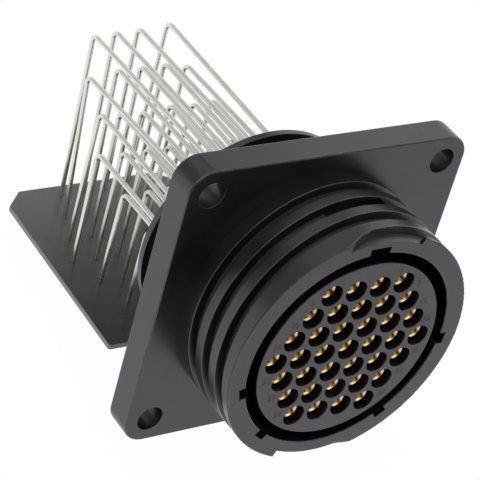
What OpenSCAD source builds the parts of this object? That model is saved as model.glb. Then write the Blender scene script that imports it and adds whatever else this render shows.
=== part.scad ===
// Circular connector receptacle with a square panel flange and right-angle board posts.
// The origin is the centre of the flange's front face. The mating end faces -Y, the posts run
// back along +Y and turn down, and +Z is up. All sizes are in millimetres.

/* [Flange] */
// Distance between neighbouring screw holes
screw_spacing = 36.6; // [34:0.1:42]
// Radius of a screw hole
screw_hole_r = 1.9; // [1.2:0.05:2.2]
// Distance from a screw hole's centre to the flange's edge
screw_edge = 3.7; // [3:0.1:6]
// Thickness of the flange
flange_t = 4.3; // [3:0.1:6]
// Radius of the flange's corners, seen from the front
flange_corner_r = 3.4; // [2:0.1:5]
// Chamfer that breaks the flange's edges
flange_edge = 0.15; // [0.1:0.05:0.8]

/* [Barrel] */
// Length of the barrel in front of the flange
barrel_l = 12.9; // [11:0.1:16]
// Radial gap between the contact block and the barrel's bore
plug_gap = 1.6; // [1.2:0.05:2]
// Wall between the bore and the root of the thread
barrel_wall = 1.8; // [1.6:0.05:2.6]
// Solid web between the floor of the gap and the flange's front face
gap_web = 2; // [1:0.1:3]
// Radius that softens the barrel's front edge
rim_round = 0.12; // [0.05:0.01:0.6]
// Chamfer at the mouth of the bore and round the block's face
mouth_chamfer = 0.1; // [0.05:0.05:0.4]

/* [Coupling thread] */
// Depth of the thread's grooves
thread_h = 1; // [0.7:0.05:1.3]
// Advance of a groove in one turn
thread_lead = 6.6; // [6:0.1:7.5]
// Width of a groove at the crest
groove_w = 1.75; // [1.4:0.05:2.1]
// Slope of a groove's flanks
groove_flank = 15; // [5:1:30]
// Distance from the rim to a groove's far flank, at the middle of its entry slot
entry_inset = 1.8; // [1.6:0.05:2.4]
// Angle of the first entry slot's middle, anticlockwise from +X as seen from the front
entry_angle = 88; // [60:1:120]
// Arc of an entry slot at the rim
entry_arc = 41; // [30:1:50]
// Arc of the slanted lead-in at the start of an entry slot
entry_lead_arc = 13; // [6:1:18]
// Land that is left between the end of a groove and the flange
thread_land = 0.4; // [0.2:0.05:1]
// Arc of the detent pocket, one turn along each groove
pocket_arc = 31; // [20:1:40]
// Wall between a detent pocket's floor and a keyway
pocket_skin = 0.3; // [0.2:0.05:0.5]
// Arc of the rib that closes a detent pocket
rib_arc = 3.5; // [2:0.5:8]
// Distance from the crest of the thread down to the rib's top
rib_drop = 0.15; // [0.1:0.05:0.6]

/* [Keyways] */
// Radial depth of the keyways in the bore
key_depth = 0.95; // [0.6:0.05:1.2]
// Width of the main keyway, at the top
main_key_w = 3.1; // [2.4:0.1:4]
// Width of the other keyways
side_key_w = 1.75; // [1.2:0.05:2.2]

/* [Contact cavities] */
// Distance between neighbouring contacts
pitch = 3.81; // [3.6:0.01:4.4]
// Radial gap round a contact at its cavity's mouth
mouth_gap = 0.3; // [0.2:0.02:0.4]
// Wall between an outer cavity and the edge of the block
block_wall = 0.77; // [0.5:0.01:1.2]
// Length of the land that stops a contact's collar
stop_l = 1.5; // [1:0.1:2]
// Radial clearance between the land and a contact's sleeve
stop_clear = 0.06; // [0.03:0.01:0.08]
// Length of the chamber that holds a contact's collar and clip
chamber_l = 4.5; // [3.5:0.1:5]
// Radial height of the ledge that catches a clip
ledge_h = 0.15; // [0.1:0.01:0.16]
// Radial clearance between a collar and the cavity's rear entry
entry_clear = 0.05; // [0.03:0.01:0.06]
// Length of the rear entry, from the ledge to the block's back face
rear_entry_l = 4.5; // [3:0.1:5]

/* [Rear collar] */
// Length of the collar behind the flange
collar_l = 8.9; // [8:0.1:12]
// Depth of the recess behind the contact block
recess_depth = 5.7; // [4:0.1:6.4]
// Margin of the recess round the contact block
recess_margin = 0.1; // [0:0.05:0.5]
// Wall of the collar at its groove
neck_wall = 1.3; // [1:0.05:1.6]
// Length of the groove
neck_l = 3.2; // [2:0.1:4]
// Height of the collar above its groove
collar_h = 1.2; // [0.6:0.05:1.4]
// Height of the end lip above the groove
lip_h = 1.54; // [1:0.02:1.8]
// Length of the end lip
lip_l = 1; // [0.6:0.05:1.6]

/* [Contacts] */
// Outer radius of a socket sleeve
sleeve_r = 1.3; // [1.15:0.01:1.35]
// Radius of a socket's bore
socket_r = 0.8; // [0.6:0.01:0.9]
// Depth of a socket's bore
socket_depth = 7; // [5:0.1:8]
// Width of the sloping lip round a socket's mouth
socket_lip_w = 0.24; // [0.1:0.01:0.25]
// Depth of the lip
socket_lip = 0.13; // [0.05:0.01:0.3]
// Depth of the cone behind the lip, which leads a pin into the bore
socket_cone = 0.3; // [0.1:0.01:0.8]
// Distance from the block's face to the socket sleeves
socket_recess = 1.3; // [0.5:0.05:2]
// Radial height of a contact's collar above its sleeve
shoulder_h = 0.15; // [0.12:0.01:0.18]
// Length of a contact's collar
shoulder_l = 1.2; // [0.8:0.1:1.6]
// Radius of a contact's waist, inside its clip
waist_r = 0.9; // [0.7:0.01:1]
// Distance from the rear end of a contact's guide to the block's back face
guide_inset = 0.6; // [0.2:0.05:1]
// Slack between a contact's guide and its clip
clip_slack = 0.1; // [0.05:0.01:0.2]
// Thickness of a clip's sheet
clip_t = 0.15; // [0.1:0.01:0.18]
// Clearance between a clip and the contact's waist
clip_clear = 0.05; // [0.02:0.01:0.08]
// Share of the ledge that a clip covers
clip_cover = 0.5; // [0.3:0.05:0.8]

/* [Posts] */
// Diameter of a post
post_d = 0.74; // [0.6:0.01:1]
// Radius of a post's bend, at its centre line
post_bend_r = 1.2; // [0.8:0.05:1.6]
// How much a post's wall draws in where it is bent
bend_thinning = 0.01; // [0.005:0.005:0.03]
// Distance from the collar's end to the nearest row of posts
first_row_gap = 6.6; // [5:0.1:10]
// Distance between rows of posts on the board
row_step = 5.08; // [4:0.01:6]
// Length of a tail below the aligner plate
tail_l = 4.1; // [2:0.1:6]
// Length of a tail's taper
tail_taper = 0.5; // [0.2:0.05:1]

/* [Aligner plate] */
// Distance from the connector's axis down to the plate's top face
plate_drop = 19.8; // [16:0.1:24]
// Thickness of the plate
plate_t = 0.8; // [0.6:0.05:1.6]
// Margin beside the widest row of posts
plate_side = 3.47; // [2:0.01:5]
// Margin in front of the nearest row of posts
plate_front = 3; // [2:0.1:5]
// Margin behind the farthest row of posts
plate_rear = 2.1; // [1.5:0.1:4]
// Cut at the plate's rear corners
plate_rear_cut = 3; // [1:0.1:3.4]
// Cut at the plate's front corners
plate_front_cut = 0.3; // [0.2:0.1:2]
// Radial clearance of a post in the plate
plate_clear = 0.04; // [0.02:0.01:0.08]

/* [Hidden] */
$fn = 96;
// Contacts in each row of the hexagonal field, from the top
row_counts = [4, 5, 6, 7, 6, 5, 4];
rows = len(row_counts);
row_h = pitch * sqrt(3) / 2;
field_r = (max(row_counts) - 1) / 2 * pitch;
// Every contact as [row, place in the row], from the top left as seen from the front
contact_seats = [for (row = [0 : rows - 1]) for (place = [0 : row_counts[row] - 1]) [row, place]];
contact_count = len(contact_seats);

// Keyways as [angle, width]
keyways = [
    [90, main_key_w],
    [-5, side_key_w],
    [-54, side_key_w],
    [-130, side_key_w],
    [-165, side_key_w],
];

// Radii of a cavity and of the contact in it
mouth_r = sleeve_r + mouth_gap;
stop_r = sleeve_r + stop_clear;
shoulder_r = sleeve_r + shoulder_h;
rear_entry_r = shoulder_r + entry_clear;
chamber_r = rear_entry_r + ledge_h;
guide_r = shoulder_r - entry_clear;
clip_front_r = waist_r + clip_clear + clip_t;
clip_rear_r = rear_entry_r + clip_cover * ledge_h;

// Radii of the housing, from the contact field outwards
block_r = field_r + max(mouth_r, chamber_r) + block_wall;
bore_r = block_r + plug_gap;
key_r = bore_r + key_depth;
root_r = bore_r + barrel_wall;
crest_r = root_r + thread_h;
recess_r = block_r + recess_margin;
neck_r = recess_r + neck_wall;
collar_r = neck_r + collar_h;
lip_r = neck_r + lip_h;
flange_w = screw_spacing + 2 * screw_edge;

// Places along the connector's axis
rim_y = -barrel_l;
collar_end_y = flange_t + collar_l;
block_back_y = collar_end_y - recess_depth;
ledge_y = block_back_y - rear_entry_l;
stop_y = ledge_y - chamber_l;
sleeve_front_y = rim_y + socket_recess;
waist_y = stop_y + shoulder_l;
guide_y = ledge_y + clip_slack;
guide_end_y = block_back_y - guide_inset;
first_row_y = collar_end_y + first_row_gap;
last_row_y = first_row_y + (rows - 1) * row_step;

// Heights below the connector's axis
plate_bottom_z = -plate_drop - plate_t;
tail_z = plate_bottom_z - tail_l;

// How far a cut runs past the face that it opens
cut_over = 0.6;

// The thread: two grooves, half a turn apart, made in steps of a few degrees
thread_starts = 2;
groove_step = 5;
groove_run = (barrel_l - entry_inset - thread_land) / thread_lead * 360;
runout_arc = 15;
entry_half_arc = entry_arc / 2;
// Arc of the wall that ends an entry slot
entry_wall_arc = 0.3;
// Shelf between a ridge's edge and a detent pocket
pocket_shelf = 0.1;
// Arc by which a rib starts inside its pocket, which then trims it
rib_lap = 1.5;
// Arc of the split in a clip
clip_split_arc = 50;
// Arc by which a post's bend runs into the straight parts on either side
bend_lap = 3;

// Colours
moulding = "#333336";
tin = "#c4c3bb";
sheet = "#3d3d40";
spring = "#9a9a98";

function contact_name(n) = str("contact_", n < 10 ? "0" : "", n);
function seat_x(seat) = (seat[1] - (row_counts[seat[0]] - 1) / 2) * pitch;
function seat_z(seat) = ((rows - 1) / 2 - seat[0]) * row_h;
function seat_post_y(seat) = last_row_y - seat[0] * row_step;

// A point at a radius and an angle round the connector's axis
function around(r, angle, y) = [r * cos(angle), y, r * sin(angle)];

// Turns a shape made along +Z so that it runs along +Y
module along_y() {
    rotate([-90, 0, 0]) children();
}

// Sets the children in every contact's place
module at_contacts() {
    for (seat = contact_seats)
        translate([seat_x(seat), 0, seat_z(seat)]) children();
}

// Joins sections of four points each into a closed solid
module sweep(sections) {
    last = len(sections) - 1;
    points = [for (section = sections) for (point = section) point];
    sides = [for (s = [0 : last - 1]) for (k = [0 : 3])
        let (a = 4 * s + k, b = 4 * s + (k + 1) % 4)
        each [[a, b + 4, b], [a, a + 4, b + 4]]];
    first_cap = [[0, 1, 2], [0, 2, 3]];
    last_cap = [for (face = first_cap) [for (k = [2, 1, 0]) face[k] + 4 * last]];
    polyhedron(points, concat(sides, first_cap, last_cap));
}

// Half section of a flange edge: a bar of the flange's thickness with both outer edges broken
module flange_section(reach) {
    polygon([
        [0, 0],
        [reach - flange_edge, 0],
        [reach, flange_edge],
        [reach, flange_t - flange_edge],
        [reach - flange_edge, flange_t],
        [0, flange_t],
    ]);
}

module flange_plate() {
    straight = flange_w - 2 * flange_corner_r;
    for (side = [0 : 90 : 270])
        rotate([0, side, 0]) {
            translate([0, 0, -straight / 2])
                linear_extrude(straight) flange_section(flange_w / 2);
            translate([straight / 2, 0, straight / 2])
                rotate([-90, -90, 0])
                    rotate_extrude(angle = 90) flange_section(flange_corner_r);
        }
}

// Half section of the housing's outside: the barrel and the rear collar
module outside_section() {
    polygon([
        [0, rim_y],
        [crest_r - rim_round, rim_y],
        [crest_r - rim_round, rim_y + rim_round],
        [crest_r, rim_y + rim_round],
        [crest_r, flange_t / 2],
        [collar_r, flange_t / 2],
        [collar_r, collar_end_y - lip_l - neck_l],
        [neck_r, collar_end_y - lip_l - neck_l],
        [neck_r, collar_end_y - lip_l],
        [lip_r, collar_end_y - lip_l],
        [lip_r, collar_end_y],
        [0, collar_end_y],
    ]);
    translate([crest_r - rim_round, rim_y + rim_round]) circle(rim_round);
}

// Half section of the housing's inside: the plug's bore, the seat of the block and the recess
module inside_section() {
    polygon([
        [0, rim_y - cut_over],
        [bore_r + mouth_chamfer + cut_over, rim_y - cut_over],
        [bore_r, rim_y + mouth_chamfer],
        [bore_r, -gap_web],
        [block_r, -gap_web],
        [block_r, block_back_y],
        [recess_r, block_back_y],
        [recess_r, collar_end_y + cut_over],
        [0, collar_end_y + cut_over],
    ]);
}

module block_section() {
    polygon([
        [0, rim_y],
        [block_r - mouth_chamfer, rim_y],
        [block_r, rim_y + mouth_chamfer],
        [block_r, block_back_y],
        [0, block_back_y],
    ]);
}

// Section of one cavity: mouth, stop land, clip chamber and rear entry
module cavity_section() {
    polygon([
        [0, rim_y - cut_over],
        [mouth_r, rim_y - cut_over],
        [mouth_r, stop_y - stop_l],
        [stop_r, stop_y - stop_l],
        [stop_r, stop_y],
        [chamber_r, stop_y],
        [chamber_r, ledge_y],
        [rear_entry_r, ledge_y],
        [rear_entry_r, block_back_y + cut_over],
        [0, block_back_y + cut_over],
    ]);
}

// Place of a groove's far flank at the crest, at an angle past the middle of its entry
function far_flank_y(past) =
    let (helix = rim_y + entry_inset + thread_lead * past / 360)
    let (lead_start = -entry_half_arc, lead_end = lead_start + entry_lead_arc)
    let (lead_y = rim_y + entry_inset + thread_lead * lead_end / 360)
    past < lead_end
        ? rim_y + (lead_y - rim_y) * (past - lead_start) / entry_lead_arc
        : helix;

// Floor of a groove: the root, fading out to the crest at the groove's end
function groove_floor_r(past) =
    past < groove_run - runout_arc
        ? root_r
        : root_r + (thread_h + cut_over / 2) * (past - groove_run + runout_arc) / runout_arc;

// Section of a groove, open to the rim while it is in its entry slot
function groove_section(past, angle, open) =
    let (slope = tan(groove_flank), floor_r = groove_floor_r(past), top_r = crest_r + cut_over)
    let (far = far_flank_y(past), near = far - groove_w)
    let (inset = (crest_r - floor_r) * slope, flare = cut_over * slope)
    [
        around(top_r, angle - past, open ? rim_y - cut_over : near - flare),
        around(floor_r, angle - past, open ? rim_y - cut_over : near + inset),
        around(floor_r, angle - past, far - inset),
        around(top_r, angle - past, far + flare),
    ];

// One groove of the thread, from its entry slot to its run-out
module thread_groove(angle) {
    slot = [for (past = [-entry_half_arc : groove_step : entry_half_arc - groove_step / 2]) past];
    run_start = entry_half_arc + entry_wall_arc;
    run_steps = ceil((groove_run - run_start) / groove_step);
    run = [for (s = [0 : run_steps]) run_start + (groove_run - run_start) * s / run_steps];
    sweep(concat(
        [for (past = slot) groove_section(past, angle, true)],
        [groove_section(entry_half_arc, angle, true)],
        [for (past = run) groove_section(past, angle, false)]
    ));
}

// Section of a straight-sided band along the middle of a groove
function groove_band(past, angle, half_w, low_r, high_r) =
    let (middle = far_flank_y(past) - groove_w / 2)
    [
        around(high_r, angle - past, middle - half_w),
        around(low_r, angle - past, middle - half_w),
        around(low_r, angle - past, middle + half_w),
        around(high_r, angle - past, middle + half_w),
    ];

// Detent pocket in a groove, one turn past its entry slot
module detent_pocket(angle) {
    half_w = groove_w / 2 - pocket_shelf;
    steps = ceil(pocket_arc / groove_step);
    sweep([for (s = [0 : steps])
        groove_band(360 + pocket_arc * (s / steps - 0.5), angle, half_w,
            key_r + pocket_skin, crest_r + cut_over)]);
}

// Rib across a groove, at the end of its detent pocket
module detent_rib(angle) {
    half_w = groove_w / 2 + pocket_shelf;
    start = 360 + pocket_arc / 2;
    sweep([for (past = [start - rib_lap, start + rib_arc])
        groove_band(past, angle, half_w, root_r - cut_over / 2, crest_r - rib_drop)]);
}

module keyway(angle, width) {
    rotate([0, -angle, 0])
        translate([block_r + plug_gap / 2, rim_y - cut_over, -width / 2])
            cube([key_r - block_r - plug_gap / 2, barrel_l - gap_web + cut_over, width]);
}

// Flange, threaded barrel and rear collar
module housing() {
    starts = [for (n = [0 : thread_starts - 1]) entry_angle + n * 360 / thread_starts];
    color(moulding) difference() {
        union() {
            flange_plate();
            difference() {
                along_y() rotate_extrude() outside_section();
                for (angle = starts) thread_groove(angle);
            }
            for (angle = starts) detent_rib(angle);
        }
        along_y() rotate_extrude() inside_section();
        for (x = [-1, 1], z = [-1, 1])
            translate([x * screw_spacing / 2, -cut_over, z * screw_spacing / 2])
                along_y() cylinder(r = screw_hole_r, h = flange_t + 2 * cut_over);
        for (angle = starts) detent_pocket(angle);
        for (key = keyways) keyway(key[0], key[1]);
    }
}

// The block of contact cavities, in the housing's seat
module contact_block() {
    color(moulding) difference() {
        along_y() rotate_extrude() block_section();
        at_contacts() along_y() rotate_extrude() cavity_section();
    }
}

// Half section of a contact's straight part: sleeve, collar, waist, guide and post
module contact_section(post_end_y) {
    polygon([
        [sleeve_r - socket_lip_w, sleeve_front_y + socket_lip],
        [sleeve_r, sleeve_front_y],
        [sleeve_r, stop_y],
        [shoulder_r, stop_y],
        [shoulder_r, waist_y],
        [waist_r, waist_y],
        [waist_r, guide_y],
        [guide_r, guide_y],
        [guide_r, guide_end_y],
        [post_d / 2, guide_end_y],
        [post_d / 2, post_end_y],
        [0, post_end_y],
        [0, sleeve_front_y + socket_depth],
        [socket_r, sleeve_front_y + socket_depth],
        [socket_r, sleeve_front_y + socket_lip + socket_cone],
    ]);
}

// A post's bend and its tail, below the end of its straight part
module post_tail(drop) {
    translate([0, 0, -post_bend_r])
        rotate([0, -90, 0])
            rotate([0, 0, -bend_lap])
                rotate_extrude(angle = 90 + 2 * bend_lap)
                    translate([post_bend_r, 0]) circle(d = post_d - 2 * bend_thinning);
    translate([0, post_bend_r, -drop]) rotate_extrude() polygon([
        [0, 0],
        [post_d / 4, 0],
        [post_d / 2, tail_taper],
        [post_d / 2, drop - post_bend_r],
        [0, drop - post_bend_r],
    ]);
}

module contact(n) {
    seat = contact_seats[n - 1];
    straight_end_y = seat_post_y(seat) - post_bend_r;
    color(tin) translate([seat_x(seat), 0, seat_z(seat)]) {
        along_y() rotate_extrude() contact_section(straight_end_y);
        translate([0, straight_end_y, 0]) post_tail(seat_z(seat) - tail_z);
    }
}

// A split cone of spring sheet between a contact's collar and its cavity's ledge
module retention_clips() {
    color(spring) at_contacts()
        along_y() rotate_extrude(angle = 360 - clip_split_arc)
            polygon([
                [clip_front_r - clip_t, waist_y],
                [clip_front_r, waist_y],
                [clip_rear_r, ledge_y],
                [clip_rear_r - clip_t, ledge_y],
            ]);
}

module aligner_plate() {
    half_w = field_r + plate_side;
    front_y = first_row_y - plate_front;
    rear_y = last_row_y + plate_rear;
    color(sheet) translate([0, 0, plate_bottom_z]) difference() {
        linear_extrude(plate_t) polygon([
            [-half_w + plate_front_cut, front_y],
            [half_w - plate_front_cut, front_y],
            [half_w, front_y + plate_front_cut],
            [half_w, rear_y - plate_rear_cut],
            [half_w - plate_rear_cut, rear_y],
            [-half_w + plate_rear_cut, rear_y],
            [-half_w, rear_y - plate_rear_cut],
            [-half_w, front_y + plate_front_cut],
        ]);
        for (seat = contact_seats)
            translate([seat_x(seat), seat_post_y(seat), -cut_over])
                cylinder(r = post_d / 2 + plate_clear, h = plate_t + 2 * cut_over);
    }
}

housing();
contact_block();
aligner_plate();
retention_clips();
for (n = [1 : contact_count])
    contact(n);
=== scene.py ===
# %% [markdown]
# A round panel connector with right-angle board posts
#
# The object is a dark plastic receptacle: a square flange, a barrel with a coarse thread, a block
# of 37 gold sockets, and rows of tin-plated posts that are bent down through a thin plate. The
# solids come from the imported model, in metres, with the mating end towards -Y and +Z up. This
# lesson gives them their finishes, softens the moulded edges, adds the small moulded marks, and
# lights the whole as a small studio would.

# %% Load the frame
from math import cos, radians

import bmesh
import bpy
from mathutils import Matrix, Vector


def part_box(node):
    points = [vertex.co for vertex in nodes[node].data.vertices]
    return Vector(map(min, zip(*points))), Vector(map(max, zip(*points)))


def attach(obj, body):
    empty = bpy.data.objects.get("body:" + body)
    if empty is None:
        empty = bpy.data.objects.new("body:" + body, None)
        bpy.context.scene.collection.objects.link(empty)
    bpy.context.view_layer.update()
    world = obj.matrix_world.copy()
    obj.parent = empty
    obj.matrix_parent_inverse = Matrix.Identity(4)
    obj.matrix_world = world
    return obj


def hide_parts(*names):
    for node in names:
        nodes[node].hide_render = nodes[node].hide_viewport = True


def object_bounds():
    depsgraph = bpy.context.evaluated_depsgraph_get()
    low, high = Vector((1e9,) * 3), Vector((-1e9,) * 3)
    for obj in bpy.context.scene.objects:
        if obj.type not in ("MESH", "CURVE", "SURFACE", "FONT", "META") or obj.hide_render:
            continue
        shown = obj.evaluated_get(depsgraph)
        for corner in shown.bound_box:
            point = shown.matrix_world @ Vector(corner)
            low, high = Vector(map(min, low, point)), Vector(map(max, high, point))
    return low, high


MM = 0.001
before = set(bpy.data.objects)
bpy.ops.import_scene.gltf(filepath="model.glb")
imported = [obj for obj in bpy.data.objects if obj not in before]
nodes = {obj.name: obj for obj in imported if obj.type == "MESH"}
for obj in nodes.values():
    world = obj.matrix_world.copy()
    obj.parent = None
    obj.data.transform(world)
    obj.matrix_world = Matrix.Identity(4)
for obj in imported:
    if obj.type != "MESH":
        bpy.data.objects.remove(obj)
cad_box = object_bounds()
contact_names = sorted(
    name for name in nodes if name.startswith("contact_") and name[-1].isdigit()
)
print("nodes:", len(nodes), "contacts:", len(contact_names))
print("box of the solids:", [[round(x, 5) for x in corner] for corner in cad_box])

# %% [markdown]
# Camera
#
# The picture was taken from the front, above and to the left, with a long lens. The camera's place
# is given in millimetres, and its turn by two of its axes, from which the third follows. A focal
# length in pixels becomes one in millimetres through the sensor's width.

# %% Camera
PICTURE_SIDE_PX = 480
SENSOR_MM = 36.0
FOCAL_PX = 2266.408
NEAREST_M, FARTHEST_M = 0.01, 50
scene = bpy.context.scene
camera_place = Vector((-169.5427, -181.6366, 170.7286)) * MM
camera_right = Vector((0.8267963355, -0.5120430531, 0.2328513074))
camera_forward = Vector((0.5453653046, 0.6283032344, -0.5548078317))
camera_up = camera_right.cross(camera_forward)


def placed(name, data):
    """A new object for a mesh, lamp or camera, linked to the scene."""
    made = bpy.data.objects.new(name, data)
    scene.collection.objects.link(made)
    return made


camera_data = bpy.data.cameras.new("camera")
camera_data.sensor_width = SENSOR_MM
camera_data.lens = FOCAL_PX * SENSOR_MM / PICTURE_SIDE_PX
camera_data.clip_start = NEAREST_M
camera_data.clip_end = FARTHEST_M
camera = placed("camera", camera_data)
turn = Matrix((camera_right, camera_up, -camera_forward)).transposed().to_4x4()
camera.matrix_world = Matrix.Translation(camera_place) @ turn
bpy.context.scene.camera = camera
print("lens:", round(camera_data.lens, 2), "mm")

# %% [markdown]
# Studio
#
# Small dark parts are photographed in a light tent: white from every side, so that their faces show
# a soft, even gloss and their corners stay black. A lamp on each side could do this too, but would
# show as spots. So the world itself is white for the eye and for reflections, and somewhat weaker
# as a lamp. A Light Path node tells the two kinds of rays apart.

# %% World
WORLD_LIGHT = 0.6
WORLD_SEEN = 1
scene.view_settings.view_transform = "Standard"


def bare_tree(owner):
    """The node tree of a new world or material, without any nodes yet."""
    owner.use_nodes = True
    owner.node_tree.nodes.clear()
    return owner.node_tree


def link_chain(tree, source, *stages):
    """Feeds source into the first input of each stage in turn, and returns the last output."""
    for stage in stages:
        tree.links.new(source, stage.inputs[0])
        source = stage.outputs[0]
    return source


def seen_directly(tree):
    """1 for rays that show the background itself: camera, glossy and transmission rays."""
    path = tree.nodes.new("ShaderNodeLightPath")
    largest = [tree.nodes.new("ShaderNodeMath") for _ in range(2)]
    for stage, kind in zip(largest, ("Is Glossy Ray", "Is Transmission Ray")):
        stage.operation = "MAXIMUM"
        tree.links.new(path.outputs[kind], stage.inputs[1])
    return link_chain(tree, path.outputs["Is Camera Ray"], *largest)


def either_shader(tree, share, unseen, seen, output):
    """Joins two shaders by a share, and gives the result to an output node."""
    mix = tree.nodes.new("ShaderNodeMixShader")
    tree.links.new(share, mix.inputs[0])
    tree.links.new(unseen.outputs[0], mix.inputs[1])
    tree.links.new(seen.outputs[0], mix.inputs[2])
    tree.links.new(mix.outputs[0], tree.nodes.new(output).inputs["Surface"])


def white_light(tree, kind, strength):
    """A Background or Emission node that gives plain white light."""
    light = tree.nodes.new(kind)
    light.inputs["Color"].default_value = (1, 1, 1, 1)
    light.inputs["Strength"].default_value = strength
    return light


world = bpy.data.worlds.new("studio")
scene.world = world
tree = bare_tree(world)
either_shader(
    tree,
    seen_directly(tree),
    white_light(tree, "ShaderNodeBackground", WORLD_LIGHT),
    white_light(tree, "ShaderNodeBackground", WORLD_SEEN),
    "ShaderNodeOutputWorld",
)
print("world: as a lamp", WORLD_LIGHT, "as seen", WORLD_SEEN)

# %% [markdown]
# Floor
#
# The floor is a sheet of white paper. To the eye it is nearly all plain white, so that it runs into
# the background without a line. A small share of real paper, which takes shadows, keeps a faint
# shadow under the connector.

# %% Floor
FLOOR_HALF_M = 1.5
FLOOR_GAP_MM = 0.02
FLOOR_SHADOW_SHARE = 0.05
FLOOR_SEEN = 1.03
PAPER_COLOUR = (0.9, 0.9, 0.9, 1)
floor_z = cad_box[0][2] - FLOOR_GAP_MM * MM


def mesh_of(name, shape):
    """Turns a bmesh into a mesh, and frees it."""
    mesh = bpy.data.meshes.new(name)
    shape.to_mesh(mesh)
    shape.free()
    return mesh


shape = bmesh.new()
bmesh.ops.create_grid(shape, x_segments=1, y_segments=1, size=FLOOR_HALF_M)
bmesh.ops.translate(shape, verts=shape.verts, vec=(0, 0, floor_z))
floor = placed("floor", mesh_of("floor", shape))

sweep = bpy.data.materials.new("white_sweep")
tree = bare_tree(sweep)
paper = tree.nodes.new("ShaderNodeBsdfDiffuse")
paper.inputs["Color"].default_value = PAPER_COLOUR
share = tree.nodes.new("ShaderNodeMath")
share.operation = "MULTIPLY"
share.inputs[1].default_value = 1 - FLOOR_SHADOW_SHARE
either_shader(
    tree,
    link_chain(tree, seen_directly(tree), share),
    paper,
    white_light(tree, "ShaderNodeEmission", FLOOR_SEEN),
    "ShaderNodeOutputMaterial",
)
floor.data.materials.append(sweep)
print("floor at", round(floor_z / MM, 2), "mm")

# %% [markdown]
# Cards
#
# Black plastic shows what stands around it, so a photographer shapes it with cards rather than with
# lamps. Here the white sheet ends a hand's breadth in front of the connector, and a low dark
# curtain stands beyond that. Faces that look there turn black, such as the thread's flanks. A grey
# card behind, to the left, tones down the barrel's shoulder, and a pale one beside it tones the
# crests of the thread. A small dark one on the pale one's corner darkens the flange's top edge
# towards the left. One in front, up to the right, keeps the flange dark above the barrel. The
# camera sees none of them.

# %% Cards
SHEET_LIFT_MM = 0.5
CARDS = {
    # name: place in mm, direction it faces, width and height in mm, tone
    "end_of_sheet": ((0, -500, floor_z / MM + SHEET_LIFT_MM), (0, 0, 1), 1600, 800, 0.02),
    "dark_curtain": ((0, -300, 45), (0, 1, 0), 900, 140, 0.02),
    "grey_card": ((-190, 185, 165), (0.6, -0.6, -0.53), 240, 220, 0.4),
    "pale_card": ((10, 190, 240), (0, -0.62, -0.78), 310, 170, 0.64),
    "edge_card": ((132, 223, 209), (0, -0.62, -0.78), 93, 66, 0.03),
    "shade_card": ((126, -189, 195), (-0.42, 0.63, -0.65), 190, 150, 0.3),
}


def card(name, place_mm, facing, width_mm, height_mm, tone):
    """A flat card with an even tone, turned to face a direction. The camera doesn't see it."""
    shape = bmesh.new()
    bmesh.ops.create_grid(shape, x_segments=1, y_segments=1, size=0.5)
    bmesh.ops.scale(shape, vec=Vector((width_mm, height_mm, 1)) * MM, verts=shape.verts)
    turn = Vector(facing).to_track_quat("Z", "Y").to_matrix().to_4x4()
    stand = Matrix.Translation(Vector(place_mm) * MM) @ turn
    bmesh.ops.transform(shape, matrix=stand, verts=shape.verts)
    board = placed(name, mesh_of(name, shape))
    board.visible_camera = False
    board.visible_shadow = False
    even_tone = bpy.data.materials.new(name)
    tree = bare_tree(even_tone)
    light = white_light(tree, "ShaderNodeEmission", tone)
    output = tree.nodes.new("ShaderNodeOutputMaterial")
    tree.links.new(light.outputs[0], output.inputs["Surface"])
    board.data.materials.append(even_tone)


for name, stand in CARDS.items():
    card(name, *stand)
print("cards:", len(CARDS))

# %% [markdown]
# Lamp
#
# The sockets lie deep in dark cavities, where the tent's light hardly reaches. A small soft lamp
# stands low in front, to the right, for their gold lips.

# %% Lamp


def soft_lamp(name, place_mm, aim_mm, side_mm, power_w):
    """A square soft lamp that is aimed at a point."""
    data = bpy.data.lights.new(name, "AREA")
    data.size = side_mm * MM
    data.energy = power_w
    lamp = placed(name, data)
    place, aim = Vector(place_mm) * MM, Vector(aim_mm) * MM
    lamp.location = place
    lamp.rotation_euler = (aim - place).to_track_quat("-Z", "Y").to_euler()


soft_lamp("low_front", place_mm=(84, -272, 34), aim_mm=(0, -12, 0), side_mm=150, power_w=0.1)

# %% [markdown]
# Finishes
#
# A finish is a small tree of nodes around one Principled shader. What is the same all over is set
# on the shader itself, and what varies reaches it through links. The nodes could be added one by
# one for each finish, but short calls keep the finishes easy to read.

# %% Wiring


class Wiring:
    """A material with a Principled shader, and calls that add nodes and link them."""

    def __init__(self, name, **sockets):
        self.material = bpy.data.materials.new(name)
        self.material.use_nodes = True
        self.tree = self.material.node_tree
        self.shader = self.tree.nodes["Principled BSDF"]
        for socket, value in sockets.items():
            self.shader.inputs[socket.replace("_", " ")].default_value = value
        self.place = self.node("ShaderNodeTexCoord").outputs["Object"]

    def node(self, kind, **settings):
        made = self.tree.nodes.new(kind)
        for key, value in settings.items():
            setattr(made, key, value)
        return made

    def link(self, source, target):
        self.tree.links.new(source, target)

    def give(self, output, socket):
        """Feeds one of the shader's own sockets."""
        self.link(output, self.shader.inputs[socket])

    def math(self, operation, first, second):
        """One arithmetic step. Each side is a number or another node's output."""
        made = self.node("ShaderNodeMath", operation=operation)
        for socket, value in zip(made.inputs, (first, second)):
            if isinstance(value, (int, float)):
                socket.default_value = value
            else:
                self.link(value, socket)
        return made.outputs[0]


def calls_of(kind):
    """Names of the calls that a class adds."""
    return [name for name, call in vars(kind).items() if callable(call) and name[0] != "_"]


print("calls for wiring:", calls_of(Wiring))

# %% [markdown]
# Patterns
#
# Clouds, grain and specks are noise at different scales. Every pattern reads Object coordinates,
# which are metres here, so a noise scale of 5000 gives grains of about a fifth of a millimetre.
# Where a finish differs from face to face, it reads the point's place or the face's direction.

# %% Patterns


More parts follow.
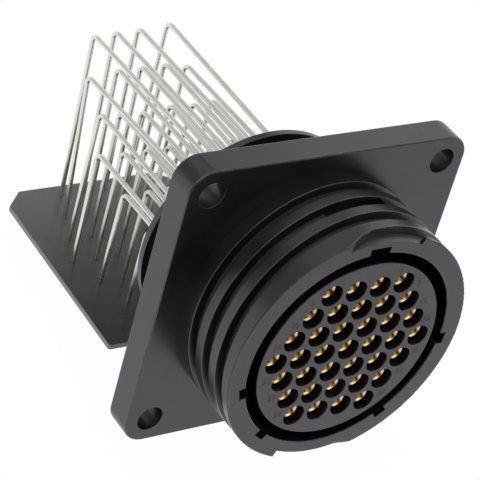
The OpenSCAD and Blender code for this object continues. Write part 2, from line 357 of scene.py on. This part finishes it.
class Finish(Wiring):
    """A material with short calls for the patterns that feed its shader."""

    MOST_NOISE = 0.3, 0.7
    STEEPNESS = 0.4, 0.6

    def noise(self, scale, detail=2.0, roughness=0.5):
        made = self.node("ShaderNodeTexNoise")
        made.inputs["Scale"].default_value = scale
        made.inputs["Detail"].default_value = detail
        made.inputs["Roughness"].default_value = roughness
        self.link(self.place, made.inputs["Vector"])
        return made.outputs["Fac"]

    def ramp(self, source, low, high, low_value, high_value):
        """A number that goes from low_value to high_value as source goes from low to high."""
        made = self.node("ShaderNodeMapRange")
        self.link(source, made.inputs["Value"])
        for socket, value in zip(
            ("From Min", "From Max", "To Min", "To Max"), (low, high, low_value, high_value)
        ):
            made.inputs[socket].default_value = value
        return made.outputs["Result"]

    def spread(self, noise, low_value, high_value):
        """A number that follows a noise through the range where most of its values lie."""
        return self.ramp(noise, *self.MOST_NOISE, low_value, high_value)

    def blend(self, share, low, high):
        """A colour between two colours, each a triple or another node's output."""
        made = self.node("ShaderNodeMix", data_type="RGBA")
        self.link(share, made.inputs["Factor"])
        ends = [s for s in made.inputs if s.type == "RGBA"]
        for socket, colour in zip(ends, (low, high)):
            if isinstance(colour, tuple):
                socket.default_value = (*colour, 1)
            else:
                self.link(colour, socket)
        return next(s for s in made.outputs if s.type == "RGBA")

    def bump(self, height, depth_mm):
        made = self.node("ShaderNodeBump")
        made.inputs["Strength"].default_value = 1
        made.inputs["Distance"].default_value = depth_mm * MM
        self.link(height, made.inputs["Height"])
        return made.outputs["Normal"]

    def along(self, axis):
        """A point's own coordinate along X, Y or Z, in metres."""
        split = self.node("ShaderNodeSeparateXYZ")
        self.link(self.place, split.inputs[0])
        return split.outputs[axis]

    def off_axis(self):
        """Distance from the connector's axis, which runs along Y."""
        flat = self.node("ShaderNodeVectorMath", operation="MULTIPLY")
        flat.inputs[1].default_value = (1, 0, 1)
        self.link(self.place, flat.inputs[0])
        distance = self.node("ShaderNodeVectorMath", operation="LENGTH")
        self.link(flat.outputs["Vector"], distance.inputs[0])
        return distance.outputs["Value"]

    def walls_along(self, axis):
        """1 on faces that run along X, Y or Z, 0 on faces that look along it."""
        facing = self.node("ShaderNodeSeparateXYZ")
        self.link(self.node("ShaderNodeNewGeometry").outputs["Normal"], facing.inputs[0])
        return self.ramp(self.math("ABSOLUTE", facing.outputs[axis], 0), *self.STEEPNESS, 1, 0)


print("calls for patterns:", calls_of(Finish))

# %% [markdown]
# Dark moulded plastic
#
# The housing is a black thermoplastic. Nearly all of its grey is what it reflects, so its colour is
# close to nothing and its gloss does the rest. The mould's outer faces were spark-eroded, which
# leaves a fine grain, while the pins that form the cavities were polished, so the walls of the
# cavities are smoother than the rest. The rounded edges are painted a little paler, partly as
# rubbed wear and partly as a painted highlight, and a few specks of dust cling to the outside.

# %% Moulding finish
BLOCK_REACH_MM = 13.8
BLACKS = (0.005, 0.005, 0.0055), (0.009, 0.009, 0.0097)
BLACK_SCALE = 180
SATIN_ROUGHNESS = 0.27, 0.35
POLISH = 0.1
# The rounded edges' paler colour: partly rubbed wear, partly a painted highlight.
EDGE_WEAR_AND_HIGHLIGHT = (0.06, 0.06, 0.063)
EDGE_WEAR_AND_HIGHLIGHT_SCALE = 900
EDGE_WEAR_AND_HIGHLIGHT_RANGE = 0.35, 0.65
LEAST_EDGE_WEAR_AND_HIGHLIGHT = 0.4
DUST = (0.3, 0.3, 0.3)
SPECK_SCALE = 2600
SPECK_RANGE = 0.755, 0.79
SPECK_SHARE = 0.5
PATCH_SCALE = 110
PATCH_RANGE = 0.5, 0.62
GRAIN_SCALE = 6500
GRAIN_MM = 0.003


def polished_share(finish):
    """1 on the walls of the contact cavities, 0 elsewhere."""
    in_block = finish.math("LESS_THAN", finish.off_axis(), BLOCK_REACH_MM * MM)
    return finish.math("MULTIPLY", finish.walls_along("Y"), in_block)


def dust_share(finish):
    """Small specks, in some places only."""
    speck = finish.ramp(finish.noise(SPECK_SCALE, detail=1), *SPECK_RANGE, 0, SPECK_SHARE)
    patch = finish.ramp(finish.noise(PATCH_SCALE), *PATCH_RANGE, 0, 1)
    return finish.math("MULTIPLY", speck, patch)


def moulding_finish():
    finish = Finish("dark_moulding", IOR=1.71, Specular_Tint=(0.92, 0.915, 1.0, 1))
    cloud = finish.noise(BLACK_SCALE, detail=3)
    polished = polished_share(finish)
    matt = finish.math("SUBTRACT", 1, polished)
    edge = finish.node("ShaderNodeAttribute", attribute_name="rounded_edge").outputs["Fac"]
    # Rounded edges are painted paler in patches: partly rubbed wear, partly a painted highlight.
    edge_wear_and_highlight = finish.ramp(finish.noise(EDGE_WEAR_AND_HIGHLIGHT_SCALE), *EDGE_WEAR_AND_HIGHLIGHT_RANGE, LEAST_EDGE_WEAR_AND_HIGHLIGHT, 1)
    paler_share = finish.math("MULTIPLY", edge, edge_wear_and_highlight)
    tone = finish.blend(paler_share, finish.blend(cloud, *BLACKS), EDGE_WEAR_AND_HIGHLIGHT)
    dust = finish.math("MULTIPLY", dust_share(finish), matt)
    finish.give(finish.blend(dust, tone, DUST), "Base Color")
    satin = finish.spread(cloud, *SATIN_ROUGHNESS)
    smoother = finish.math("MULTIPLY", finish.math("MAXIMUM", polished, edge), POLISH)
    finish.give(finish.math("SUBTRACT", satin, smoother), "Roughness")
    grain = finish.math("MULTIPLY", finish.noise(GRAIN_SCALE), matt)
    finish.give(finish.bump(grain, GRAIN_MM), "Normal")
    return finish


moulding = moulding_finish()
print("moulding nodes:", len(moulding.tree.nodes))

# %% [markdown]
# Skins
#
# A solid comes as loose triangles. Before its edges can be rounded, the triangles are joined where
# their corners meet, the lines inside flat faces are cleared, and edges too short to show are
# closed up. Blender's Remesh would also give one skin, but it would blur the thread.

# %% Skins
SAME_POINT_MM = 0.0004
FLAT_DEGREES = 0.4
WELD_MM = 0.02


def skin(node):
    """A solid's triangles, joined where their corners meet."""
    shape = bmesh.new()
    shape.from_mesh(nodes[node].data)
    bmesh.ops.remove_doubles(shape, verts=shape.verts, dist=SAME_POINT_MM * MM)
    return shape


def merged(node):
    """A solid's skin without lines inside flat faces and without tiny edges."""
    shape = skin(node)
    bmesh.ops.dissolve_limit(
        shape,
        angle_limit=radians(FLAT_DEGREES),
        verts=shape.verts,
        edges=shape.edges,
        use_dissolve_boundaries=False,
    )
    bmesh.ops.remove_doubles(shape, verts=shape.verts, dist=WELD_MM * MM)
    return shape


print("triangles of the housing:", len(nodes["housing"].data.polygons))

# %% [markdown]
# Even shading
#
# Blender shades a smooth mesh by the direction that each corner of a face is given. An average over
# all faces around a corner would make flat faces look dented next to a rounded edge. So each corner
# takes its direction from the large faces that run on smoothly there, and the narrow strips between
# them bridge the rest. A facet of the barrel points straight out from the axis at each corner, so
# that the barrel looks round.

# %% Even shading
EDGE_DEGREES = 28
EDGE_COSINE = cos(radians(EDGE_DEGREES))
BARREL_FROM_MM = 12
SAME_RADIUS_MM = 0.01
LEVEL_SLOPE = 0.02
OUTWARD_COSINE = 0.98
LEAST_AREA_MM2 = 1e-6


def on_a_barrel(face):
    """Whether a face is a facet of a round surface about the connector's own axis."""
    spokes = [Vector((v.co.x, 0, v.co.z)) for v in face.verts]
    radii = [spoke.length for spoke in spokes]
    if abs(face.normal.y) > LEVEL_SLOPE or min(radii) < BARREL_FROM_MM * MM:
        return False
    if max(radii) - min(radii) > SAME_RADIUS_MM * MM:
        return False
    return all(abs(spoke.normalized().dot(face.normal)) > OUTWARD_COSINE for spoke in spokes)


def own_direction(loop, barrel):
    """A face's direction at one of its corners: its own, or away from the axis on a barrel."""
    if loop.face not in barrel:
        return loop.face.normal
    radial = Vector((loop.vert.co.x, 0, loop.vert.co.z)).normalized()
    return radial if radial.dot(loop.face.normal) > 0 else -radial


def even_normals(shape, strips):
    """A direction for each corner, shared with the large faces that run on smoothly there."""
    barrel = {f for f in shape.faces if f not in strips and on_a_barrel(f)}
    area = {f: max(f.calc_area() / MM**2, LEAST_AREA_MM2) for f in shape.faces}
    directions = []
    for face in shape.faces:
        for loop in face.loops:
            own = own_direction(loop, barrel)
            near = [l for l in loop.vert.link_loops if l.face not in strips]
            if face not in strips:
                near = [l for l in near if own_direction(l, barrel).dot(own) > EDGE_COSINE]
            total = Vector()
            for other in near:
                total += own_direction(other, barrel) * (other.calc_angle() * area[other.face])
            directions.append(total.normalized() if near else own)
    return directions


print("an edge counts as one from", EDGE_DEGREES, "degrees")

# %% [markdown]
# Soft edges
#
# No moulded edge is sharp: the tool's corners have small radii, and each one shows as a thin line
# of light. A Bevel modifier could round them, but the operator also tells which faces it made, and
# these are marked for the finish, which paints them paler: partly wear, partly a painted highlight.

# %% Soft-edged housing and block
HOUSING_ROUNDING_MM = 0.1
BLOCK_ROUNDING_MM = 0.05


def new_piece(name, shape, finish):
    """Turns a bmesh into a piece that rides with the part."""
    piece = placed(name, mesh_of(name, shape))
    piece.data.materials.append(finish.material)
    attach(piece, "root")
    return piece


def shaded(name, shape, finish, node, strips=frozenset()):
    """A piece with even shading that stands for a node."""
    for face in shape.faces:
        face.smooth = True
    directions = even_normals(shape, strips)
    piece = new_piece(name, shape, finish)
    piece.data.normals_split_custom_set(directions)
    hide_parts(node)
    return piece


def soft_edged(node, name, width_mm, finish):
    """A copy of a node with its outward edges rounded."""
    shape = merged(node)
    edge_mark = shape.faces.layers.float.new("rounded_edge")
    least_angle = radians(EDGE_DEGREES)
    sharp = [e for e in shape.edges if e.is_convex and e.calc_face_angle() > least_angle]
    made = bmesh.ops.bevel(
        shape,
        geom=sharp,
        offset=width_mm * MM,
        offset_type="OFFSET",
        affect="EDGES",
        segments=2,
        profile=0.5,
        material=-1,
        clamp_overlap=False,
    )
    shape.normal_update()
    for face in made["faces"]:
        face[edge_mark] = 1
    open_edges = sum(1 for e in shape.edges if len(e.link_faces) != 2)
    piece = shaded(name, shape, finish, node, set(made["faces"]))
    print(name, "edges rounded:", len(sharp), "open edges:", open_edges)
    print(name, "faces:", len(piece.data.polygons))


soft_edged("housing", "housing_soft", HOUSING_ROUNDING_MM, moulding)
soft_edged("contact_block", "contact_block_soft", BLOCK_ROUNDING_MM, moulding)

# %% [markdown]
# Moulded numbers
#
# The block's face has small raised numbers beside the outer cavities, so that someone can find a
# contact. They are cut into the mould by a round cutter. A bump in the finish would leave the mesh
# flat, so they are set as text, thickened, and turned into meshes.

# %% Numbers
NUMBERS = {
    # number: its place across and up the block's face, in mm
    "1": (-4.6, 12.0),
    "4": (4.6, 12.0),
    "5": (-8.45, 9.25),
    "9": (8.45, 9.25),
    "10": (-10.35, 5.95),
    "15": (10.35, 5.95),
    "16": (-12.0, 2.75),
    "22": (12.0, 2.75),
    "23": (-12.0, -2.75),
    "28": (12.0, -2.75),
    "29": (-10.35, -5.95),
    "33": (10.35, -5.95),
    "34": (-8.45, -9.25),
    "37": (8.45, -9.25),
}
NUMBER_HEIGHT_MM = 0.95
FONT_SIZE_PER_HEIGHT = 1.4
NUMBER_RELIEF_MM = 0.035
FACE_Y_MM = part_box("contact_block")[0][1] / MM


def raised_number(words, x_mm, z_mm):
    curve = bpy.data.curves.new("number_" + words, "FONT")
    curve.body = words
    curve.size = NUMBER_HEIGHT_MM * FONT_SIZE_PER_HEIGHT * MM
    curve.align_x = "CENTER"
    curve.align_y = "CENTER"
    curve.extrude = NUMBER_RELIEF_MM * MM
    curve.resolution_u = 3
    letters = placed(curve.name, curve)
    mesh = bpy.data.meshes.new_from_object(letters)
    bpy.data.objects.remove(letters)
    bpy.data.curves.remove(curve)
    place = Vector((x_mm, FACE_Y_MM, z_mm)) * MM
    mesh.transform(Matrix.Translation(place) @ Matrix.Rotation(radians(90), 4, "X"))
    shape = bmesh.new()
    shape.from_mesh(mesh)
    bpy.data.meshes.remove(mesh)
    new_piece("number_" + words, shape, moulding)


for words, (x_mm, z_mm) in NUMBERS.items():
    raised_number(words, x_mm, z_mm)
print("numbers:", len(NUMBERS), "face at", round(FACE_Y_MM, 2), "mm")

# %% [markdown]
# The gate
#
# The gate is where the plastic entered the mould: a small broken-off nub on the flange's right
# edge. A rounded block does for it, half sunk into the flange.

# %% Gate
GATE_SIZE_MM = (0.5, 2.2, 1.1)
GATE_Y_MM = 2.15
GATE_Z_MM = 10.2
GATE_ROUNDING_MM = 0.1

flange_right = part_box("housing")[1][0]
shape = bmesh.new()
bmesh.ops.create_cube(shape, size=1)
bmesh.ops.scale(shape, vec=Vector(GATE_SIZE_MM) * MM, verts=shape.verts)
gate_place = Vector((flange_right, GATE_Y_MM * MM, GATE_Z_MM * MM))
bmesh.ops.translate(shape, vec=gate_place, verts=shape.verts)
bmesh.ops.bevel(
    shape,
    geom=shape.edges[:],
    offset=GATE_ROUNDING_MM * MM,
    affect="EDGES",
    segments=2,
    profile=0.5,
    material=-1,
)
new_piece("gate", shape, moulding)
print("gate at", [round(x / MM, 2) for x in gate_place], "mm")

# %% [markdown]
# Punched plate
#
# The aligner is a thin dark sheet, punched with 37 holes. It has a fine weave under its surface.
# Its cut edges are pale. Its face is painted darker near the housing and paler towards the free
# end, as painted shade of the flange and posts giving way to painted light, so its colour follows
# the distance from the housing.

# %% Plate finish
# The sheet is painted darker near the housing and paler towards the free end: painted shade giving
# way to painted light.
PAINTED_LIGHT_FROM_MM = 18
PAINTED_LIGHT_TO_MM = 52
PAINTED_LIGHT_SHARE = 0.85
SHEET_TONES = (0.009, 0.009, 0.0088), (0.15, 0.15, 0.147)
SHEET_SCALE = 260
SHEET_ROUGHNESS = 0.2, 0.28
CUT_EDGE = (0.3, 0.3, 0.29)
WEAVE_SCALE = 4200
WEAVE_MM = 0.004


def plate_finish():
    finish = Finish("punched_sheet", IOR=1.5)
    weave = finish.noise(WEAVE_SCALE, roughness=0.6)
    cloud = finish.spread(finish.noise(SHEET_SCALE, detail=3), 0, 1 - PAINTED_LIGHT_SHARE)
    # Painted shade near the housing, giving way to painted light towards the free end.
    start, end = PAINTED_LIGHT_FROM_MM * MM, PAINTED_LIGHT_TO_MM * MM
    paler_share = finish.ramp(finish.along("Y"), start, end, 0, PAINTED_LIGHT_SHARE)
    sheet = finish.blend(finish.math("ADD", paler_share, cloud), *SHEET_TONES)
    finish.give(finish.blend(finish.walls_along("Z"), sheet, CUT_EDGE), "Base Color")
    finish.give(finish.spread(weave, *SHEET_ROUGHNESS), "Roughness")
    finish.give(finish.bump(weave, WEAVE_MM), "Normal")
    return finish


plate = plate_finish()
print("plate nodes:", len(plate.tree.nodes))

# %% [markdown]
# Gold sockets and tin posts
#
# A contact is turned from one rod of copper alloy. Its socket end is gold-plated, and its post is
# dipped in tin so that it solders well. Gold is smooth and warm on the lip, and is painted deeper
# and browner inside the bore, as painted shade in the recess. Tin is whiter, a little cloudy, and
# blurs what it reflects. One finish holds both, and the border lies inside the housing.

# %% Contact finish
POST_START_MM = 6.9
PLATING_BORDER_MM = 0.2
SOCKET_FRONT_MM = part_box("contact_01")[0][1] / MM
LIP_DEPTH_MM = 0.09
BORE_DEPTH_MM = 0.23
LIP_GOLDS = (0.80, 0.54, 0.20), (0.90, 0.66, 0.30)
# The darker, browner gold inside the bore is painted shade in the recess.
SHADED_BORE_GOLD = (0.34, 0.15, 0.04)
TINS = (0.70, 0.70, 0.655), (0.84, 0.84, 0.79)
METAL_SCALE = 450
METAL_ROUGHNESS = 0.2, 0.28
POST_BLUR = 0.06


def contact_finish():
    finish = Finish("gold_and_tin", Metallic=1.0)
    cloud = finish.noise(METAL_SCALE, detail=1)
    back = finish.along("Y")
    border = (POST_START_MM - PLATING_BORDER_MM) * MM
    is_post = finish.ramp(back, border, POST_START_MM * MM, 0, 1)
    lip_end = (SOCKET_FRONT_MM + LIP_DEPTH_MM) * MM
    bore_start = (SOCKET_FRONT_MM + BORE_DEPTH_MM) * MM
    # The bore is painted darker, as painted shade in the recess.
    bore_shade_share = finish.ramp(back, lip_end, bore_start, 0, 1)
    gold = finish.blend(bore_shade_share, finish.blend(cloud, *LIP_GOLDS), SHADED_BORE_GOLD)
    finish.give(finish.blend(is_post, gold, finish.blend(cloud, *TINS)), "Base Color")
    blur = finish.math("MULTIPLY", is_post, POST_BLUR)
    finish.give(finish.math("ADD", finish.spread(cloud, *METAL_ROUGHNESS), blur), "Roughness")
    return finish


contact = contact_finish()
print("contact nodes:", len(contact.tree.nodes))

# %% [markdown]
# Posts as they lean
#
# Thin posts are never quite straight: on this one they sag and lean by a millimetre or so, and the
# plate that was pushed over them sits a little askew. Each contact is copied and bent as a wire
# bends, from nothing where it leaves the housing to its full lean at the corner, and back to the
# plate's own shift at its foot. The solids stay regular, because a new part has straight posts.

# %% Leans
PLATE_SHIFT_MM = Vector((0.8, 0, 0.65))
USUAL_LEAN_MM = (0.4, -0.4)
LEAN_MM = {
    # contact: how far its corner is out of place, across and up, in mm
    1: (0.0, -0.57),
    2: (-0.34, -0.32),
    3: (-0.25, -0.16),
    4: (0.9, 0.26),
    5: (-1.03, -0.77),
    6: (-0.2, 0.0),
    7: (0.0, 0.0),
    8: (0.15, 0.1),
    9: (0.17, -0.62),
    10: (0.75, -0.45),
    11: (0.3, -0.75),
    12: (0.22, -0.9),
    13: (0.95, -0.4),
    14: (1.2, -0.6),
    15: (0.6, -0.4),
    16: (0.15, -0.2),
    17: (0.5, -0.47),
    18: (0.57, -0.4),
    23: (0.55, -0.6),
    24: (0.6, -0.55),
}
plate_low, plate_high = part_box("aligner_plate")
print("leans measured:", len(LEAN_MM), "of", len(contact_names))

# %% [markdown]
# Bending the posts
#
# A Simple Deform modifier bends a whole object evenly. Here each vertex is moved by two shares, how
# far back it lies between the housing and the corner, and how far up between the plate and the
# post's level. A cut at the plate's top face gives the straight post a row of vertices there.

# %% Leaning posts and plate
POST_EXIT_MM = 7.5
POST_RADIUS_MM = 0.37
CORNER_MM = 1.57


def share_between(value, start, end):
    """0 at start or before it, 1 at end or past it."""
    return min(max((value - start) / (end - start), 0), 1)


def plate_shift(y):
    """How far the plate is out of place at a distance from the housing."""
    return PLATE_SHIFT_MM * MM * share_between(y, plate_low[1], plate_high[1])


def leaning_post(node, lean_mm):
    low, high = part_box(node)
    axis_z = high[2] - (high[0] - low[0]) / 2
    lean = Vector((lean_mm[0], 0, lean_mm[1])) * MM
    foot = plate_shift(high[1] - POST_RADIUS_MM * MM)
    foot.z = 0
    shape = skin(node)
    bmesh.ops.bisect_plane(
        shape,
        geom=shape.verts[:] + shape.edges[:] + shape.faces[:],
        plane_co=(0, 0, plate_high[2]),
        plane_no=(0, 0, 1),
    )
    for vert in shape.verts:
        back = share_between(vert.co.y, POST_EXIT_MM * MM, high[1] - CORNER_MM * MM)
        up = share_between(vert.co.z, plate_high[2], axis_z)
        vert.co += lean * min(back, up) + foot * (back * (1 - up))
    shape.normal_update()
    shaded(node + "_leaning", shape, contact, node)


for name in contact_names:
    leaning_post(name, LEAN_MM.get(int(name[-2:]), USUAL_LEAN_MM))

shape = merged("aligner_plate")
for vert in shape.verts:
    vert.co += plate_shift(vert.co.y)
shape.normal_update()
shaded("aligner_plate_askew", shape, plate, "aligner_plate")
print("posts:", len(contact_names), "and the plate over them")

# %% [markdown]
# Spring clips
#
# The clips sit inside the cavities and are bright spring sheet. They hardly show, and still get a
# finish of their own. Their shape is right as it is, so the node stays, and only its material
# changes.

# %% Clip finish
SPRING_SHEET = (0.5, 0.5, 0.49), (0.62, 0.62, 0.6)
SPRING_SCALE = 2500
SPRING_ROUGHNESS = 0.25, 0.4


def clip_finish():
    finish = Finish("spring_sheet", Metallic=1.0)
    cloud = finish.noise(SPRING_SCALE)
    finish.give(finish.blend(cloud, *SPRING_SHEET), "Base Color")
    finish.give(finish.spread(cloud, *SPRING_ROUGHNESS), "Roughness")
    return finish


def dress(obj, finish):
    """Puts one finish on every face of a piece."""
    obj.data.materials.clear()
    obj.data.materials.append(finish.material)


clip = clip_finish()
dress(nodes["retention_clips"], clip)
print("clip nodes:", len(clip.tree.nodes))

# %% [markdown]
